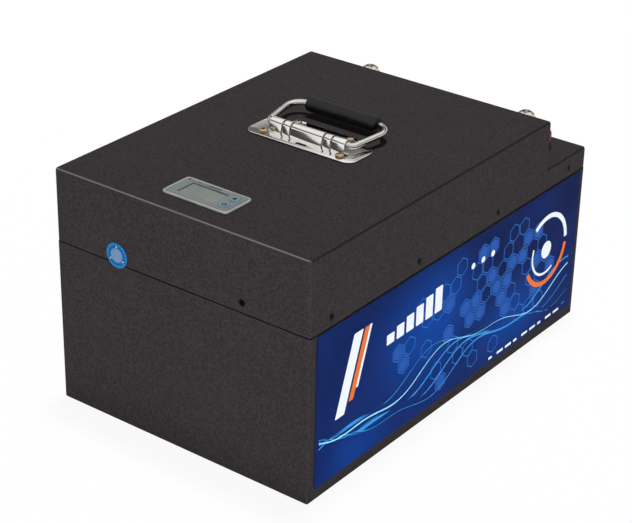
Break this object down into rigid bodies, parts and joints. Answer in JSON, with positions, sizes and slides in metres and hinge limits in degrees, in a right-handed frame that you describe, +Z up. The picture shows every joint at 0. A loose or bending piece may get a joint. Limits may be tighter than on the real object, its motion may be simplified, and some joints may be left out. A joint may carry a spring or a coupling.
{
  "type": "deep cycle battery",
  "caption": "Black steel-cased deep cycle battery with a raised screwed lid, folding bail handle, charge meter, and red and black post terminals on a rear ledge.",
  "frame": {"origin": "middle of the flat underside, on the surface the battery stands on", "axes": "+Z up; -Y the short front face with the seam seal; +X the long side with the label; +Y the rear, where the terminals stand on the ledge"},
  "size_m": [0.2406, 0.3726, 0.2132],
  "materials": {
    "case_black": "black powder coat with a fine sandy grain",
    "screw_black": "black oxide",
    "label_print": "printed film, satin",
    "seal_print": "printed film, satin",
    "meter_grey": "moulded, fine satin",
    "meter_film": "satin film",
    "meter_screen": "reflective display behind a clear window",
    "meter_button": "moulded, satin",
    "circuit_board": "solder mask",
    "nickel": "bright nickel plate",
    "grip_rubber": "smooth black rubber",
    "seal_rubber": "matt black rubber",
    "screw_passivated": "yellow passivated zinc",
    "positive_red": "moulded, semi-gloss",
    "negative_black": "moulded, semi-gloss",
    "brass": "turned",
    "terminal_steel": "nickel-plated steel",
    "nylon": "natural nylon",
    "cell_wrap": "shrink film on an aluminium can",
    "cradle_board": "glass-fibre laminate",
    "copper": "bare copper",
    "module_black": "potted module",
    "heat_sink": "extruded",
    "red_cable": "silicone insulation",
    "black_cable": "silicone insulation"
  },
  "bodies": {
    "battery": {"lower_case": "case_black", "lid": "case_black", "lid_screw_right_1": "screw_black", "lid_screw_right_2": "screw_black", "lid_screw_right_3": "screw_black", "lid_screw_right_4": "screw_black", "lid_screw_left_1": "screw_black", "lid_screw_left_2": "screw_black", "lid_screw_left_3": "screw_black", "lid_screw_left_4": "screw_black", "lid_screw_front_1": "screw_black", "lid_screw_front_2": "screw_black", "lid_screw_rear_1": "screw_black", "lid_screw_rear_2": "screw_black", "side_label": "label_print", "seam_seal": "seal_print", "meter_housing": "meter_grey", "meter_face": "meter_film", "meter_display": "meter_screen", "meter_board": "circuit_board", "handle_plate": "nickel", "positive_post_seal": "seal_rubber", "negative_post_seal": "seal_rubber", "handle_front_screw_1": "screw_passivated", "handle_front_screw_2": "screw_passivated", "handle_rear_screw_1": "screw_passivated", "handle_rear_screw_2": "screw_passivated", "positive_insulator": "positive_red", "negative_insulator": "negative_black", "positive_post": "brass", "negative_post": "brass", "positive_post_nut": "brass", "negative_post_nut": "brass", "positive_bolt": "terminal_steel", "negative_bolt": "terminal_steel", "positive_flat_washer": "terminal_steel", "negative_flat_washer": "terminal_steel", "positive_inner_washer": "nylon", "negative_inner_washer": "nylon", "balance_harness": "nylon", "cell_1": "cell_wrap", "cell_2": "cell_wrap", "cell_3": "cell_wrap", "cell_4": "cell_wrap", "cell_cradle": "cradle_board", "busbar_1": "copper", "busbar_2": "copper", "busbar_3": "copper", "bms_module": "module_black", "bms_heat_sink": "heat_sink", "plus_cable": "red_cable", "minus_cable": "black_cable", "load_cable": "black_cable", "meter_lead": "black_cable"},
    "bail": {"bail_wire": "nickel", "bail_grip": "grip_rubber"},
    "scroll_key": {"scroll_button": "meter_button"},
    "select_key": {"select_button": "meter_button"}
  },
  "joints": [
    {"name": "bail_swing", "type": "hinge", "parent": "battery", "child": "bail", "pos_m": [-0.0025, -0.028, 0.205], "axis": [1, 0, 0], "range_deg": [0, 80]},
    {"name": "scroll_press", "type": "slide", "parent": "battery", "child": "scroll_key", "axis": [0, 0, -1], "range_m": [0, 0.0004], "stiffness_N_per_m": 600, "springref_m": -0.0005},
    {"name": "select_press", "type": "slide", "parent": "battery", "child": "select_key", "axis": [0, 0, -1], "range_m": [0, 0.0004], "stiffness_N_per_m": 600, "springref_m": -0.0005}
  ]
}
